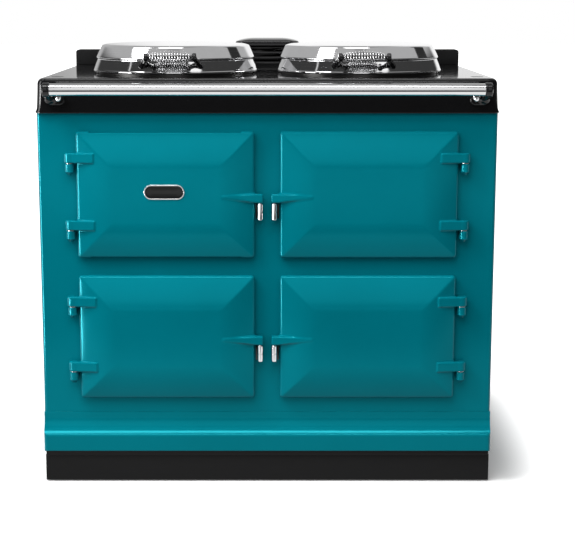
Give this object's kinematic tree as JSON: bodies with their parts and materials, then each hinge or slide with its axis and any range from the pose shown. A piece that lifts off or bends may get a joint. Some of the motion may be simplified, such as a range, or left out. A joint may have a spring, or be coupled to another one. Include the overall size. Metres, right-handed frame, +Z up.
{
  "type": "cast iron range cooker",
  "caption": "Cast iron range cooker with hinged oven doors, a control compartment, domed insulated lids over hotplates, a front towel rail and a louvred vent.",
  "frame": {"origin": "on the floor, under the middle of the outer box", "axes": "+Z up; the front, with its doors and rail, faces -Y; +X is the right-hand side seen from the front"},
  "size_m": [0.992, 0.7825, 0.962],
  "materials": {
    "teal_enamel": "gloss",
    "teal_casting": "gloss",
    "black_enamel": "gloss",
    "black_sheet": "satin",
    "black_fitting": "gloss",
    "chrome": "polished",
    "polished_steel": "polished",
    "plain_steel": "satin",
    "hotplate_iron": "satin",
    "oven_iron": "satin",
    "wool": "matte",
    "seal_rope": "matte",
    "knob_plastic": "satin"
  },
  "bodies": {
    "cooker": {"plinth_panels": "black_sheet", "levelling_feet": "plain_steel", "base_frame": "black_enamel", "front_panel": "teal_casting", "lower_skirt": "teal_casting", "side_panels": "teal_enamel", "rear_panel": "plain_steel", "top_casting": "black_enamel", "rear_upstand": "black_sheet", "vent_stack": "black_enamel", "vent_cap": "black_enamel", "towel_rail": "chrome", "rail_brackets": "black_fitting", "rail_nuts": "chrome", "top_plate_plugs": "black_fitting", "hotplates": "hotplate_iron", "heating_elements": "plain_steel", "lid_pedestals": "black_fitting", "hinge_pins": "plain_steel", "hinge_knuckles": "teal_casting", "door_keepers": "black_fitting", "oven_seals": "seal_rope", "roasting_oven": "oven_iron", "baking_oven": "oven_iron", "simmering_oven": "oven_iron", "control_panel": "black_sheet", "thermostats": "plain_steel", "insulation": "wool", "vent_manifold": "plain_steel", "mains_gland": "knob_plastic"},
    "top_left_door": {"door_top_left": "teal_casting", "liner_top_left": "polished_steel", "handle_top_left": "chrome", "door_plate": "black_fitting"},
    "top_right_door": {"door_top_right": "teal_casting", "liner_top_right": "polished_steel", "handle_top_right": "chrome"},
    "bottom_left_door": {"door_bottom_left": "teal_casting", "liner_bottom_left": "polished_steel", "handle_bottom_left": "chrome"},
    "bottom_right_door": {"door_bottom_right": "teal_casting", "liner_bottom_right": "polished_steel", "handle_bottom_right": "chrome"},
    "left_lid": {"lid_left_shell": "polished_steel", "lid_left_insulation": "wool", "lid_left_handle": "black_fitting", "lid_left_coil": "chrome", "lid_left_arm": "black_fitting"},
    "right_lid": {"lid_right_shell": "polished_steel", "lid_right_insulation": "wool", "lid_right_handle": "black_fitting", "lid_right_coil": "chrome", "lid_right_arm": "black_fitting"},
    "knob_1": {"control_knob_1": "knob_plastic"},
    "knob_2": {"control_knob_2": "knob_plastic"},
    "knob_3": {"control_knob_3": "knob_plastic"},
    "rocker": {"isolator_rocker": "knob_plastic"},
    "roasting_shelf": {"shelf_roasting": "chrome"},
    "baking_shelf": {"shelf_baking": "chrome"},
    "simmering_shelf": {"shelf_simmering": "chrome"}
  },
  "joints": [
    {"name": "top_left_door_hinge", "type": "hinge", "parent": "cooker", "child": "top_left_door", "pos_m": [-0.423, -0.33575, 0.643], "axis": [0, 0, -1], "range_deg": [0, 120]},
    {"name": "top_right_door_hinge", "type": "hinge", "parent": "cooker", "child": "top_right_door", "pos_m": [0.423, -0.33575, 0.643], "axis": [0, 0, 1], "range_deg": [0, 120]},
    {"name": "bottom_left_door_hinge", "type": "hinge", "parent": "cooker", "child": "bottom_left_door", "pos_m": [-0.423, -0.33575, 0.3305], "axis": [0, 0, -1], "range_deg": [0, 120]},
    {"name": "bottom_right_door_hinge", "type": "hinge", "parent": "cooker", "child": "bottom_right_door", "pos_m": [0.423, -0.33575, 0.3305], "axis": [0, 0, 1], "range_deg": [0, 120]},
    {"name": "left_lid_hinge", "type": "hinge", "parent": "cooker", "child": "left_lid", "pos_m": [-0.209, 0.14325, 0.922], "axis": [-1, 0, 0], "range_deg": [0, 95]},
    {"name": "right_lid_hinge", "type": "hinge", "parent": "cooker", "child": "right_lid", "pos_m": [0.209, 0.14325, 0.922], "axis": [-1, 0, 0], "range_deg": [0, 95]},
    {"name": "knob_1_turn", "type": "hinge", "parent": "cooker", "child": "knob_1", "pos_m": [-0.318, -0.29675, 0.655], "axis": [0, 1, 0], "range_deg": [0, 270]},
    {"name": "knob_2_turn", "type": "hinge", "parent": "cooker", "child": "knob_2", "pos_m": [-0.218, -0.29675, 0.655], "axis": [0, 1, 0], "range_deg": [0, 270]},
    {"name": "knob_3_turn", "type": "hinge", "parent": "cooker", "child": "knob_3", "pos_m": [-0.118, -0.29675, 0.655], "axis": [0, 1, 0], "range_deg": [0, 270]},
    {"name": "isolator_press", "type": "hinge", "parent": "cooker", "child": "rocker", "pos_m": [-0.218, -0.28775, 0.588], "axis": [1, 0, 0], "range_deg": [0, 20]},
    {"name": "roasting_shelf_slide", "type": "slide", "parent": "cooker", "child": "roasting_shelf", "axis": [0, -1, 0], "range_m": [0, 0.035]},
    {"name": "baking_shelf_slide", "type": "slide", "parent": "cooker", "child": "baking_shelf", "axis": [0, -1, 0], "range_m": [0, 0.035]},
    {"name": "simmering_shelf_slide", "type": "slide", "parent": "cooker", "child": "simmering_shelf", "axis": [0, -1, 0], "range_m": [0, 0.035]}
  ]
}
